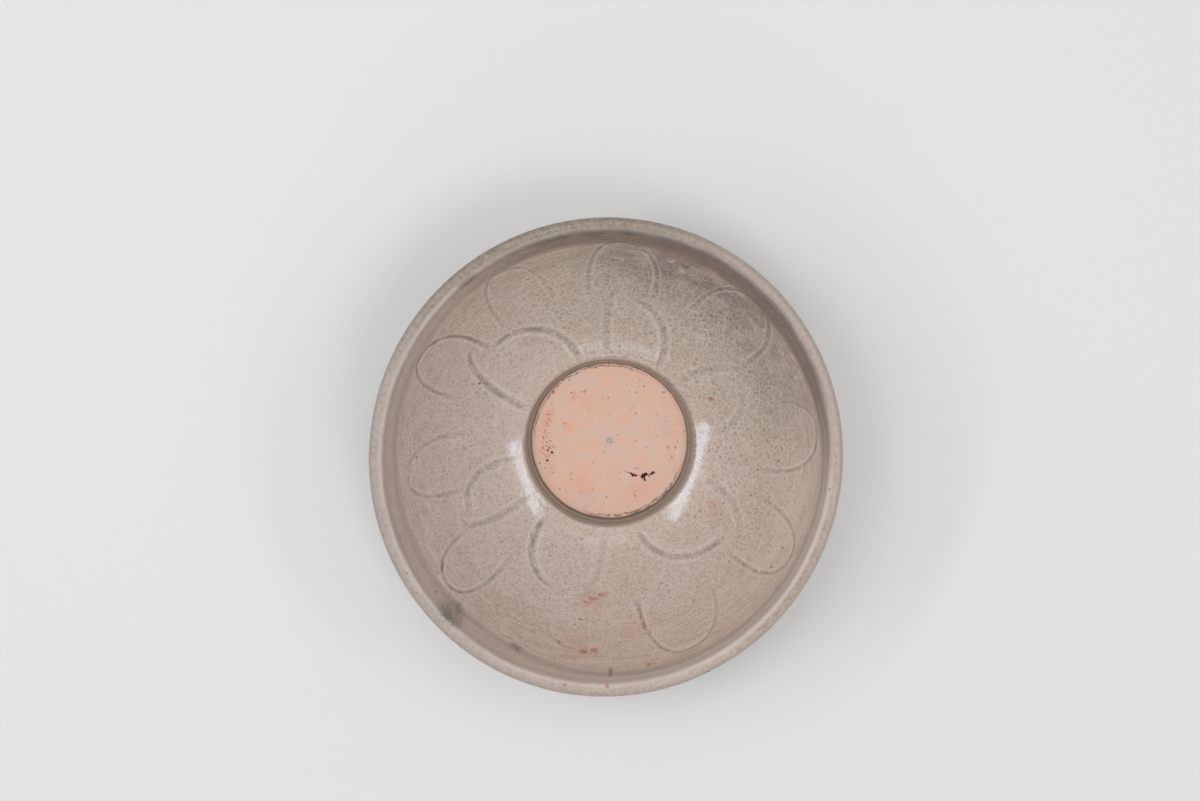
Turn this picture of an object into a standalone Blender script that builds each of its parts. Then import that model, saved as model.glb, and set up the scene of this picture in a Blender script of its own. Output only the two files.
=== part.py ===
# Qingbai bowl with carved lotus petals, seen from above with its unglazed well.
# The bowl is one thrown and turned clay body under three pieces of glaze: a poured coat
# inside that runs over the lip, a dipped coat outside, and one drop left in the well.
# Metres, +Z up. The origin is the centre of the foot's underside.

import math

import bpy

MM = 0.001

# The clay, as thrown and turned
RIM_RADIUS = 77.0 * MM
RIM_HEIGHT = 57.0 * MM
WALL_AT_WELL = 4.6 * MM
WALL_AT_LIP = 1.7 * MM
FLOOR_HEIGHT = 9.0 * MM
WELL_RADIUS = 27.4 * MM
WELL_DEPTH = 4.5 * MM
WELL_WALL_RUN = 2.5 * MM
WELL_CORNER = 0.9 * MM
WELL_EDGE = 1.3 * MM
WALL_START_SLOPE = math.radians(20.0)
NECK_DROP = 10.5 * MM
NECK_WIDTH = 6.2 * MM
LIP_WIDTH = 2.5 * MM
LIP_RISE = 0.35 * MM
LIP_SLOPE = math.radians(7.0)
LIP_EDGE = 0.9 * MM
LIP_UNDERSIDE_TURN = math.radians(-60.0)

# The foot, turned from the same clay
FOOT_RADIUS = 29.8 * MM
FOOT_TAPER = 0.8 * MM
FOOT_WIDTH = 5.8 * MM
FOOT_FILLET = 1.6 * MM
FOOT_CHAMFER = 0.8 * MM
RECESS_DEPTH = 4.0 * MM
RECESS_CORNER = 1.5 * MM
NUB_RADIUS = 4.0 * MM
NUB_HEIGHT = 0.7 * MM

# The glaze
GLAZE_THICKNESS = 0.7 * MM
SEAT_GAP = 0.3 * MM
COAT_SEAM = 0.4 * MM
GLAZE_END_RISE = 2.0 * MM
DROP_RADIUS = 0.8 * MM
DROP_HEIGHT = 0.5 * MM

# The carved lines: the glaze softens the cut, so a line is never as deep as the coat
CARVE_WIDTH = 1.5 * MM
CARVE_DEPTH_SHARE = 0.58
CARVE_STEPS = 6
ARCH_FULLNESS = 2.3

# Firing pulled the mouth a little out of round
OUT_OF_ROUND = 0.012
LONG_AXIS = math.radians(74.0)

# Faces
TURNS = 54
WALL_STEPS = 8
NECK_STEPS = 4
CORNER_STEPS = 2
EDGE_STEPS = 4

# Each arch of the outer row: where its left foot, crown and right foot lie. A place is an
# angle in degrees and a share of the way out from the well to the neck.
OUTER_ARCHES = (
    ((-7.5, 0.555), (7.5, 1.0), (16.0, 0.65)),
    ((32.0, 0.585), (46.0, 1.0), (58.5, 0.58)),
    ((73.5, 0.57), (86.5, 0.995), (96.5, 0.555)),
    ((110.0, 0.57), (121.5, 0.99), (130.0, 0.595)),
    ((140.5, 0.545), (153.0, 0.99), (161.5, 0.60)),
    ((175.5, 0.48), (187.5, 0.92), (195.5, 0.57)),
    ((210.5, 0.655), (219.5, 0.955), (228.5, 0.53)),
    ((251.5, 0.76), (259.5, 0.905), (264.0, 0.80)),
    ((281.5, 0.55), (294.0, 1.0), (307.5, 0.615)),
    ((320.0, 0.59), (331.0, 1.0), (342.0, 0.555)),
)

# Each pointed petal of the inner row: the foot and crown of its left and right strokes.
# The last value of a stroke is how full it bends: 2 is an ellipse, less is straighter.
INNER_PETALS = (
    (((7.0, 0.14), (25.0, 0.475), 1.9), ((40.5, 0.07), (30.0, 0.54), 1.35)),
    (((58.5, 0.055), (79.5, 0.505), 1.65), ((91.0, 0.065), (85.5, 0.60), 2.0)),
    (((110.0, 0.03), (138.5, 0.535), 1.75), ((156.5, 0.045), (145.0, 0.665), 1.5)),
    (((190.0, 0.105), (204.5, 0.535), 2.25), ((213.5, 0.105), (207.0, 0.625), 1.9)),
    (((230.0, 0.095), (248.5, 0.525), 1.95), ((266.5, 0.06), (258.0, 0.555), 2.0)),
    (((289.5, 0.065), (322.0, 0.49), 1.7), ((339.5, 0.14), (328.5, 0.555), 1.5)),
)

COAT = SEAT_GAP + GLAZE_THICKNESS
CARVE_DEPTH = CARVE_DEPTH_SHARE * GLAZE_THICKNESS
CARVE_RADIUS = (CARVE_WIDTH**2 / 4 + CARVE_DEPTH**2) / (2 * CARVE_DEPTH)
EDGE_RADIUS = WELL_RADIUS + WELL_WALL_RUN
EDGE_HEIGHT = FLOOR_HEIGHT + WELL_DEPTH
NECK_RADIUS = RIM_RADIUS - NECK_WIDTH
NECK_HEIGHT = RIM_HEIGHT - NECK_DROP


def clear_scene():
    for old in list(bpy.data.objects):
        bpy.data.objects.remove(old)


def new_collection(name):
    collection = bpy.data.collections.new(name)
    bpy.context.scene.collection.children.link(collection)
    return collection


def material(name, srgb, roughness):
    """A Principled material from an 8-bit sRGB colour."""
    made = bpy.data.materials.new(name)
    made.use_nodes = True
    shader = made.node_tree.nodes["Principled BSDF"]
    linear = [(value / 255) ** 2.2 for value in srgb]
    shader.inputs["Base Color"].default_value = (*linear, 1.0)
    shader.inputs["Roughness"].default_value = roughness
    shader.inputs["Metallic"].default_value = 0.0
    made.diffuse_color = (*linear, 1.0)
    return made


# Plane geometry of the section: a point is (radius, height)


def heading(start, end):
    return math.atan2(end[1] - start[1], end[0] - start[0])


def moved(point, angle, distance):
    return (point[0] + distance * math.cos(angle), point[1] + distance * math.sin(angle))


def filleted(before, corner, after, radius, steps):
    """The points of an arc that rounds a corner between two straight runs."""
    to_before = heading(corner, before)
    to_after = heading(corner, after)
    opening = math.remainder(to_after - to_before, math.tau)
    reach = radius / abs(math.tan(opening / 2))
    centre = moved(corner, to_before + opening / 2, radius / abs(math.sin(opening / 2)))
    first = heading(centre, moved(corner, to_before, reach))
    last = heading(centre, moved(corner, to_after, reach))
    sweep = math.remainder(last - first, math.tau)
    return [moved(centre, first + sweep * i / steps, radius) for i in range(steps + 1)]


def bezier(p0, p1, p2, p3, steps):
    points = []
    for i in range(steps + 1):
        t = i / steps
        weights = ((1 - t) ** 3, 3 * t * (1 - t) ** 2, 3 * t**2 * (1 - t), t**3)
        points.append(
            tuple(sum(w * p[axis] for w, p in zip(weights, (p0, p1, p2, p3))) for axis in (0, 1))
        )
    return points


def offset(points, distances):
    """The path moved to its left by a distance at each point, mitred at its corners."""
    moved_points = []
    for i, point in enumerate(points):
        before = heading(points[max(i - 1, 0)], points[max(i, 1)])
        after = heading(points[min(i, len(points) - 2)], points[min(i + 1, len(points) - 1)])
        turn = math.remainder(after - before, math.tau)
        left = before + turn / 2 + math.pi / 2
        moved_points.append(moved(point, left, distances[i] / math.cos(turn / 2)))
    return moved_points


def wall_arc():
    """Centre, radius, start and end angle of the arc that the inside wall follows."""
    run = NECK_RADIUS - EDGE_RADIUS
    rise = NECK_HEIGHT - EDGE_HEIGHT
    inward = (-math.sin(WALL_START_SLOPE), math.cos(WALL_START_SLOPE))
    radius = (run**2 + rise**2) / (2 * (run * inward[0] + rise * inward[1]))
    centre = (EDGE_RADIUS + inward[0] * radius, EDGE_HEIGHT + inward[1] * radius)
    start = heading(centre, (EDGE_RADIUS, EDGE_HEIGHT))
    end = heading(centre, (NECK_RADIUS, NECK_HEIGHT))
    return centre, radius, start, end


def inside_wall():
    """The clay's inside from the well's edge over the arc and the neck to the lip."""
    centre, radius, start, end = wall_arc()
    arc = [
        moved(centre, start + (end - start) * i / WALL_STEPS, radius)
        for i in range(WALL_STEPS + 1)
    ]
    lip_start = (RIM_RADIUS - LIP_WIDTH, RIM_HEIGHT - LIP_RISE)
    neck = bezier(
        arc[-1],
        moved(arc[-1], end + math.pi / 2, 0.45 * NECK_DROP),
        moved(lip_start, LIP_SLOPE + math.pi, 0.5 * LIP_WIDTH),
        lip_start,
        NECK_STEPS,
    )
    return arc, neck


def well():
    """The floor's corner and the well's wall, up to its rounded edge."""
    floor = (0.0, FLOOR_HEIGHT)
    corner = (WELL_RADIUS, FLOOR_HEIGHT)
    edge = (EDGE_RADIUS, EDGE_HEIGHT)
    beyond = moved(edge, WALL_START_SLOPE, WELL_EDGE * 3)
    low = filleted(floor, corner, edge, WELL_CORNER, CORNER_STEPS)
    high = filleted(corner, edge, beyond, WELL_EDGE, CORNER_STEPS)
    return low, high


def lip_edge():
    """The lip's rounded edge, from its flat top to its underside."""
    centre = (RIM_RADIUS - LIP_EDGE, RIM_HEIGHT - LIP_EDGE)
    first = LIP_SLOPE + math.pi / 2
    sweep = first - LIP_UNDERSIDE_TURN
    return [
        moved(centre, first - sweep * i / EDGE_STEPS, LIP_EDGE) for i in range(EDGE_STEPS + 1)
    ]


def outside_wall(arc, edge):
    """The clay's outside, from the lip's edge down to the foot."""
    steps = len(arc) - 1
    thinned = [(1 - i / steps) ** 2 for i in range(steps + 1)]
    walls = [-(WALL_AT_LIP + (WALL_AT_WELL - WALL_AT_LIP) * share) for share in thinned]
    rising = offset(arc, walls)
    under_lip = bezier(
        edge[-1],
        moved(edge[-1], LIP_UNDERSIDE_TURN - math.pi / 2, 0.6 * LIP_WIDTH),
        moved(rising[-1], heading(rising[-2], rising[-1]), 0.45 * NECK_DROP),
        rising[-1],
        NECK_STEPS,
    )
    return under_lip, rising[-2::-1]


def section():
    """The clay's section in stretches that run from the well over the lip to the foot."""
    low, high = well()
    arc, neck = inside_wall()
    edge = lip_edge()
    under_lip, outside = outside_wall(arc, edge)
    return low, high, arc[1:-1] + neck, edge, under_lip, outside


def foot(last_outside, above):
    """The foot from its fillet under the wall to the nub in its recess."""
    slope = heading(above, last_outside)
    drop = (last_outside[0] - FOOT_RADIUS) * math.tan(slope)
    top = (FOOT_RADIUS, last_outside[1] - abs(drop))
    bottom = (FOOT_RADIUS - FOOT_TAPER, 0.0)
    inner_bottom = (bottom[0] - FOOT_WIDTH, 0.0)
    inner_top = (inner_bottom[0] - FOOT_TAPER, RECESS_DEPTH)
    roof = (NUB_RADIUS, RECESS_DEPTH)
    points = filleted(last_outside, top, bottom, FOOT_FILLET, CORNER_STEPS)
    points += filleted(top, bottom, inner_bottom, FOOT_CHAMFER, CORNER_STEPS)
    points += filleted(bottom, inner_bottom, inner_top, FOOT_CHAMFER / 2, 1)
    points += filleted(inner_bottom, inner_top, roof, RECESS_CORNER, CORNER_STEPS)
    points += [roof, (NUB_RADIUS / 2, RECESS_DEPTH - NUB_HEIGHT), (0.0, RECESS_DEPTH - NUB_HEIGHT)]
    return points


# Objects


def turned(name, points, collection, look):
    """A profile in the XZ plane, spun about Z by a Screw modifier."""
    mesh = bpy.data.meshes.new(name)
    vertices = [(radius, 0.0, height) for radius, height in points]
    edges = [(i, i + 1) for i in range(len(vertices) - 1)]
    mesh.from_pydata(vertices, edges, [])
    made = bpy.data.objects.new(name, mesh)
    collection.objects.link(made)
    made.data.materials.append(look)
    screw = made.modifiers.new("turned on the wheel", "SCREW")
    screw.axis = "Z"
    screw.steps = TURNS
    screw.render_steps = TURNS
    screw.use_merge_vertices = True
    screw.merge_threshold = 0.00001
    screw.use_smooth_shade = True
    return made


def coat(name, clay_path, collection, look):
    """A glaze coat: the clay's own path, lifted by the seat gap, turned and thickened."""
    lifted = offset(clay_path, [SEAT_GAP] * len(clay_path))
    made = turned(name, lifted, collection, look)
    thick = made.modifiers.new("coat thickness", "SOLIDIFY")
    thick.thickness = GLAZE_THICKNESS
    thick.offset = 1.0
    thick.use_even_offset = True
    return made


def on_glaze(angle, share):
    """The centre of the carving tool over a place on the glazed wall."""
    centre, radius, start, end = wall_arc()
    depth_radius = radius - COAT - (CARVE_RADIUS - CARVE_DEPTH)
    low = moved(centre, start, depth_radius)[0]
    high = moved(centre, end, depth_radius)[0]
    reach = low + share * (high - low)
    height = centre[1] - math.sqrt(depth_radius**2 - (reach - centre[0]) ** 2)
    turn = math.radians(angle)
    return (reach * math.cos(turn), reach * math.sin(turn), height)


def stroke(foot_place, crown_place, fullness):
    """Places along a quarter of a superellipse, from the foot of a stroke to its crown."""
    places = []
    for i in range(CARVE_STEPS + 1):
        turn = math.pi / 2 * i / CARVE_STEPS
        across = math.cos(turn) ** (2 / fullness)
        along = math.sin(turn) ** (2 / fullness)
        angle = crown_place[0] + across * (foot_place[0] - crown_place[0])
        share = foot_place[1] + along * (crown_place[1] - foot_place[1])
        places.append((angle, share))
    return places


def carving_tool(name, places, collection):
    """A tapered round bar along the stroke, as a mesh that a Boolean can cut with."""
    curve = bpy.data.curves.new(name, "CURVE")
    curve.dimensions = "3D"
    curve.bevel_depth = CARVE_RADIUS
    curve.bevel_resolution = 2
    curve.use_fill_caps = True
    line = curve.splines.new("POLY")
    line.points.add(len(places) - 1)
    for i, place in enumerate(places):
        line.points[i].co = (*on_glaze(*place), 1.0)
    # The tool is let in and lifted out, so the line fades at both ends.
    lifted = 1 - 0.7 * CARVE_DEPTH / CARVE_RADIUS
    line.points[0].radius = lifted
    line.points[-1].radius = lifted
    bar = bpy.data.objects.new(name + "_path", curve)
    collection.objects.link(bar)
    graph = bpy.context.evaluated_depsgraph_get()
    mesh = bpy.data.meshes.new_from_object(bar.evaluated_get(graph))
    bpy.data.objects.remove(bar)
    tool = bpy.data.objects.new(name, mesh)
    collection.objects.link(tool)
    weld = tool.modifiers.new("welded caps", "WELD")
    weld.merge_threshold = 0.00001
    tool.hide_render = True
    tool.display_type = "WIRE"
    return tool


def carve_petals(glaze, tools):
    for i, (left, crown, right) in enumerate(OUTER_ARCHES):
        rising = stroke(left, crown, ARCH_FULLNESS)
        falling = stroke(right, crown, ARCH_FULLNESS)[::-1]
        carving_tool(f"outer_arch_{i + 1}", rising + falling[1:], tools)
    for i, strokes in enumerate(INNER_PETALS):
        for side, values in zip(("left", "right"), strokes):
            carving_tool(f"inner_petal_{i + 1}_{side}", stroke(*values), tools)
    cut = glaze.modifiers.new("carved petals", "BOOLEAN")
    cut.operation = "DIFFERENCE"
    cut.solver = "EXACT"
    cut.operand_type = "COLLECTION"
    cut.collection = tools


def pull_out_of_round(pieces, helpers):
    """One lattice stretches the mouth along its long axis and leaves the foot round."""
    cage = bpy.data.lattices.new("kiln_warp")
    cage.points_u = cage.points_v = cage.points_w = 2
    cage.interpolation_type_u = "KEY_LINEAR"
    cage.interpolation_type_v = "KEY_LINEAR"
    cage.interpolation_type_w = "KEY_LINEAR"
    warp = bpy.data.objects.new("kiln_warp", cage)
    helpers.objects.link(warp)
    warp.hide_render = True
    width = 2 * (RIM_RADIUS + COAT)
    height = RIM_HEIGHT + COAT
    warp.scale = (width, width, height)
    warp.location = (0.0, 0.0, height / 2)
    warp.rotation_euler = (0.0, 0.0, LONG_AXIS)
    for point in cage.points:
        if point.co.z > 0:
            point.co_deform.x = point.co.x * (1 + OUT_OF_ROUND)
            point.co_deform.y = point.co.y * (1 - OUT_OF_ROUND)
    for piece in pieces:
        pulled = piece.modifiers.new("pulled in the kiln", "LATTICE")
        pulled.object = warp


def build():
    clear_scene()
    parts = new_collection("qingbai_bowl")
    tools = new_collection("carving_tools")
    helpers = new_collection("helpers")

    clay = material("biscuit clay", (212, 175, 155), 0.85)
    poured = material("inside glaze", (176, 159, 148), 0.18)
    dipped = material("outside glaze", (178, 163, 150), 0.2)
    bead = material("glaze drop", (150, 140, 128), 0.15)

    low, high, wall, edge, under_lip, outside = section()
    floor_centre = (0.0, FLOOR_HEIGHT)
    inside = [floor_centre] + low + high + wall
    body_path = inside + edge + under_lip[1:] + outside + foot(outside[-1], outside[-2])
    body = turned("body", body_path, parts, clay)

    # The poured coat stands off the floor by the seat gap and ends past the lip's edge.
    well_foot = moved(low[-1], heading(low[-1], high[0]), SEAT_GAP)
    inner_path = [well_foot] + high + wall + edge
    inner_glaze = coat("inner_glaze", inner_path, parts, poured)
    carve_petals(inner_glaze, tools)

    # The dipped coat starts under the lip, a seam past the poured one.
    start = moved(under_lip[0], heading(under_lip[0], under_lip[1]), COAT_SEAM)
    last = moved(outside[-1], heading(outside[-1], outside[-2]), GLAZE_END_RISE)
    outer_path = [start] + under_lip[1:] + outside[:-1] + [last]
    outer_glaze = coat("outer_glaze", outer_path, parts, dipped)

    drop_base = FLOOR_HEIGHT + SEAT_GAP
    drop_path = [
        (0.0, drop_base + DROP_HEIGHT),
        (DROP_RADIUS * 0.6, drop_base + DROP_HEIGHT * 0.8),
        (DROP_RADIUS, drop_base),
        (0.0, drop_base),
    ]
    drop = turned("glaze_drop", drop_path, parts, bead)
    drop.modifiers[0].steps = 16
    drop.modifiers[0].render_steps = 16

    pull_out_of_round((body, inner_glaze, outer_glaze), helpers)


build()
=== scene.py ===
# %% [markdown]
# # A carved porcelain bowl, seen almost from straight above
#
# The real bowl is one lump of porcelain clay, thrown on a wheel, carved with lotus petals
# while it was still soft, glazed inside and out, and fired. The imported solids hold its
# sizes. This lesson makes each solid again with the surface that hands and fire gave it, and
# then paints that surface with nodes. The solids come first, because every piece is fitted
# to them.

# %% Load the solids
import cmath
import math

import bpy
import numpy as np
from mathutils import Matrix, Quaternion, Vector, kdtree, noise


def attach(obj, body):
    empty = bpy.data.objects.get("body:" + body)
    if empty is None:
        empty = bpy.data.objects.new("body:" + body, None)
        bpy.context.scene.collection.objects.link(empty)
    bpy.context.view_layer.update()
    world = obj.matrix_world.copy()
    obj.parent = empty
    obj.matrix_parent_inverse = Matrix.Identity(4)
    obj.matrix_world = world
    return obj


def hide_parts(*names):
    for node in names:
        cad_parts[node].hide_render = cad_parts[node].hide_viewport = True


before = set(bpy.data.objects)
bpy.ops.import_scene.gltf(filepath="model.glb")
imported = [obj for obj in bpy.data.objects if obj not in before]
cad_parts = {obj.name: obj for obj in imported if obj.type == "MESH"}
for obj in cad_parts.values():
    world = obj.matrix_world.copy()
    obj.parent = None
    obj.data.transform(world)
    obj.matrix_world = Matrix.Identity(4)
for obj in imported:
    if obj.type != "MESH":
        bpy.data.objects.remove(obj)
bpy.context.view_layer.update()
MM = 0.001
print("solids:", sorted(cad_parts))

# %% [markdown]
# ## Camera, lamps and floor
#
# The camera stands where the photograph's is taken to have stood, with a long lens 0.8 m above
# the table, leaning a few degrees from the bowl's axis. Two long cool lamps stand left and
# right, because the glaze mirrors one on each side of the well. Two weak ones give the sheen
# above and below it. Three square lamps and soft light from all round fill the rest. A pale
# floor under the bowl keeps its shadow.

# %% Camera
bpy.ops.object.camera_add(
    location=(0.023895, 0.106641, 0.808383),
    rotation=(math.radians(-6.6096), math.radians(1.9453), 0.0),
)
camera = bpy.context.object
camera.data.lens = 70.0
camera.data.sensor_width = 36.0
bpy.context.scene.camera = camera
print("camera", round(camera.location.length, 3), "m from the foot")


# %% Lamps
def lamp(name, azimuth, elevation, distance, width, height, power, roll=0.0, colour=(1.0, 0.99, 0.97)):
    """A soft lamp that looks at the middle of the bowl, with its long side level or rolled."""
    turn, rise = math.radians(azimuth), math.radians(elevation)
    away = Vector((math.cos(turn) * math.cos(rise), math.sin(turn) * math.cos(rise), math.sin(rise)))
    bpy.ops.object.light_add(type="AREA", location=away * distance + Vector((0, 0, 0.03)))
    made = bpy.context.object
    made.name = name
    level = away.to_track_quat("Z", "Y")
    made.rotation_euler = (level @ Quaternion((0, 0, 1), math.radians(roll))).to_euler()
    made.data.shape = "RECTANGLE"
    made.data.size = width
    made.data.size_y = height
    made.data.energy = power
    made.data.color = colour
    return made


COOL = (0.70, 0.82, 1.0)
lamp("left_strip", 173, 51.4, 1.0, 0.76, 0.10, 1.9, -12, COOL)
lamp("right_strip", 10, 53.8, 1.0, 0.54, 0.09, 1.15, 9, COOL)
lamp("near_strip", 266, 40, 1.0, 0.66, 0.075, 0.36, 0, COOL)
lamp("far_strip", 92, 55, 1.0, 0.34, 0.06, 0.13, 0, COOL)
lamp("left_fill", 150, 72, 1.4, 0.4, 0.4, 2.9)
lamp("right_fill", 320, 72, 1.4, 0.4, 0.4, 2.75)
lamp("far_fill", 80, 72, 1.4, 0.4, 0.4, 2.1)

# %% Light from all round
world = bpy.data.worlds.new("studio")
bpy.context.scene.world = world
world.use_nodes = True
world.node_tree.nodes["Background"].inputs["Color"].default_value = (1.0, 0.99, 0.98, 1.0)
world.node_tree.nodes["Background"].inputs["Strength"].default_value = 0.48
bpy.context.scene.view_settings.view_transform = "Standard"

# %% [markdown]
# ## Formulas in place of wires
#
# A material is a net of nodes. Wiring each sum by hand hides what it means, so one small
# class wraps an output of a node, and Python's own signs add the Math nodes. One method of
# the recipe makes every other node: its kind, its settings and what goes into its sockets.


# %% A socket that can be added and multiplied
class Socket:
    """An output of a node that takes part in formulas."""

    def __init__(self, recipe, output):
        self.recipe = recipe
        self.output = output

    def __add__(self, other):
        return self.recipe.maths("ADD", self, other)

    def __sub__(self, other):
        return self.recipe.maths("SUBTRACT", self, other)

    def __mul__(self, other):
        return self.recipe.maths("MULTIPLY", self, other)

    def __truediv__(self, other):
        return self.recipe.maths("DIVIDE", self, other)

    def __rsub__(self, other):
        return self.recipe.maths("SUBTRACT", other, self)

    __radd__ = __add__
    __rmul__ = __mul__

    def larger(self, other):
        return self.recipe.maths("MAXIMUM", self, other)

    def rise(self, low, high):
        """0 below low, 1 above high, and smooth between. With low over high it falls. A smooth
        step never leaves 0 to 1, so the node's own clamp is off, which keeps the material small."""
        ends = {"Value": self, "From Min": low, "From Max": high}
        settings = {"interpolation_type": "SMOOTHSTEP", "clamp": False}
        return self.recipe.node("ShaderNodeMapRange", settings, ends)

    def band(self, middle, half, soft):
        """1 within half of the middle, gone after soft more."""
        return self.recipe.maths("ABSOLUTE", self - middle).rise(half + soft, half)


def srgb(red, green, blue):
    """A colour picked on a screen, as the linear values that a shader takes."""
    linear = []
    for value in (red, green, blue):
        share = value / 255
        linear.append(share / 12.92 if share < 0.04045 else ((share + 0.055) / 1.055) ** 2.4)
    return (*linear, 1.0)


# %% A recipe collects the nodes of one material
class Recipe:
    """The nodes of one material, and the colour that is laid so far."""

    def __init__(self, name):
        self.material = bpy.data.materials.new(name)
        self.material.use_nodes = True
        self.tree = self.material.node_tree
        self.shader = self.tree.nodes["Principled BSDF"]

    def node(self, kind, settings=None, inputs=None, take=0):
        """Makes a node, then its settings, then its inputs, and returns one of its outputs."""
        made = self.tree.nodes.new(kind)
        for key, value in (settings or {}).items():
            setattr(made, key, value)
        for key, value in (inputs or {}).items():
            self.feed(made.inputs[key], value)
        return Socket(self, made.outputs[take])

    def feed(self, socket, value):
        if isinstance(value, Socket):
            self.tree.links.new(value.output, socket)
        else:
            socket.default_value = value

    def maths(self, operation, *values):
        return self.node("ShaderNodeMath", {"operation": operation}, dict(enumerate(values)))

    def vector(self, operation, *values):
        return self.node("ShaderNodeVectorMath", {"operation": operation}, dict(enumerate(values)))

    def mix(self, amount, first, second):
        settings = {"data_type": "RGBA", "clamp_factor": True}
        return self.node("ShaderNodeMix", settings, {0: amount, 6: first, 7: second}, 2)

    def start(self, amount, first, second):
        """The first two tones, mixed by the amount."""
        self.colour = self.mix(amount, srgb(*first), srgb(*second))

    def lay(self, amount, *tone):
        """Lays a tone over the colour, as thick as the amount says."""
        self.colour = self.mix(amount, self.colour, srgb(*tone))

    def noise(self, place, size, detail=3.0, roughness=0.55):
        values = {"Vector": place, "Scale": 1.0 / size, "Detail": detail, "Roughness": roughness}
        return self.node("ShaderNodeTexNoise", None, values)

    def attribute(self, name):
        return self.node("ShaderNodeAttribute", {"attribute_name": name}, None, 2)

    def finish(self, **inputs):
        """Feeds the shader's sockets. A plain number is set on the socket itself."""
        for key, value in inputs.items():
            self.feed(self.shader.inputs[key.replace("_", " ").title()], value)
        return self.material


# %% [markdown]
# A surface is described in millimetres: where it is, how far it lies from the bowl's axis,
# and at what angle round it. East is the right side of the photograph and is angle 0, and
# angles grow to the north, its top. Every mask in the finishes below starts from these.


# %% The places on a surface
class Finish(Recipe):
    """A recipe that knows where the shaded point is, in millimetres and round the bowl."""

    def __init__(self, name):
        super().__init__(name)
        whole = self.node("ShaderNodeTexCoord", None, None, 3)
        self.point = self.node("ShaderNodeVectorMath", {"operation": "SCALE"}, {0: whole, "Scale": 1000.0})
        x, y, z = (self.node("ShaderNodeSeparateXYZ", None, {0: self.point}, i) for i in range(3))
        self.x, self.y, self.height = x, y, z
        self.radius = self.maths("SQRT", x * x + y * y)

    def side(self, angle, low, high):
        """A mask for the side at this angle. Low and high run from 0 on the far side to 1 there."""
        turn = math.radians(angle)
        towards = (self.x * math.cos(turn) + self.y * math.sin(turn)) / (self.radius + 0.01) * 0.5 + 0.5
        return towards.rise(low, high)

    def patches(self, size, low, high, detail=3.0, roughness=0.55):
        """A mask of noise over the surface."""
        return self.noise(self.point, size, detail, roughness).rise(low, high)

    def wheel(self, round_scale, along_scale, detail=3.0, roughness=0.55):
        """Noise that is long round the bowl and short along the section, for wheel marks."""
        away = self.radius + 0.01
        places = [way / away * round_scale for way in (self.x, self.y)] + [self.along * along_scale]
        whole = self.node("ShaderNodeCombineXYZ", None, dict(enumerate(places)))
        return self.noise(whole, 1.0, detail, roughness)

    def wobble(self, scale):
        """Three rough noises at once, to push places about."""
        values = {"Vector": self.point, "Scale": scale, "Detail": 4.0, "Roughness": 0.7}
        return self.node("ShaderNodeTexNoise", None, values, 1)

    def pushed(self, wobble, reach):
        """The point, pushed by at most half the reach each way."""
        far = self.vector("ADD", self.point, self.vector("MULTIPLY", wobble, (reach,) * 3))
        return self.vector("SUBTRACT", far, (reach / 2,) * 3)

    def spot(self, place, soft, angle, radius, size, stretch, lean=0.0):
        """A soft mark at one place, stretched round the bowl by a factor, or at a slant to that.
        The gradient takes the mapped place as it is, which keeps the material small."""
        turn = math.radians(angle)
        values = {
            "Vector": place,
            "Location": (radius * math.cos(turn), radius * math.sin(turn), 0.0),
            "Rotation": (0.0, 0.0, turn + math.radians(lean)),
            "Scale": (size, size * stretch, 1e6),
        }
        mapped = {"Vector": self.node("ShaderNodeMapping", {"vector_type": "TEXTURE"}, values)}
        return self.node("ShaderNodeTexGradient", {"gradient_type": "SPHERICAL"}, mapped, 1).rise(0.0, soft)

    def marks(self, place, kind, soft):
        """One mask for all the marks of a kind."""
        whole = None
        for mark in kind:
            mask = self.spot(place, soft, *mark)
            whole = mask if whole is None else whole.larger(mask)
        return whole

    def skin(self, height, strength=1.0):
        """The small relief that only the light shows, from a height in millimetres."""
        values = {"Strength": strength, "Distance": 0.001, "Height": height}
        return self.node("ShaderNodeBump", None, values)


print("helpers ready")

# %% [markdown]
# ## The section that was thrown
#
# A thrown pot is one line turned about an axis. The line is drawn here from the same sizes
# as the solids. A complex number holds a point of it: the real part is the distance from
# the axis and the imaginary part is the height, so a step in a direction is one addition.

# %% Sizes of the clay and its coats
RIM_RADIUS = 77.0
RIM_HEIGHT = 57.0
WALL_AT_WELL = 4.6
WALL_AT_LIP = 1.7
FLOOR_HEIGHT = 9.0
WELL_RADIUS = 27.4
WELL_DEPTH = 4.5
WELL_WALL_RUN = 2.5
WELL_CORNER = 0.9
WELL_EDGE = 1.3
WALL_START_SLOPE = math.radians(20.0)
NECK_DROP = 10.5
NECK_WIDTH = 6.2
LIP_WIDTH = 2.5
LIP_RISE = 0.35
LIP_SLOPE = math.radians(7.0)
LIP_EDGE = 0.9
LIP_UNDERSIDE_TURN = math.radians(-60.0)
FOOT_RADIUS = 29.8
FOOT_TAPER = 0.8
FOOT_WIDTH = 5.8
FOOT_FILLET = 1.6
FOOT_CHAMFER = 0.8
RECESS_DEPTH = 4.0
RECESS_CORNER = 1.5
NUB_RADIUS = 4.0
NUB_HEIGHT = 0.7
SEAT_GAP = 0.3
GLAZE_THICKNESS = 0.7
COAT = SEAT_GAP + GLAZE_THICKNESS
GLAZE_END_RISE = 2.0
OUT_OF_ROUND = 0.012
LONG_AXIS = math.radians(74.0)


# %% Lines, arcs and offsets
def heading(start, end):
    return cmath.phase(end - start)


def moved(point, direction, distance):
    return point + cmath.rect(distance, direction)


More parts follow.
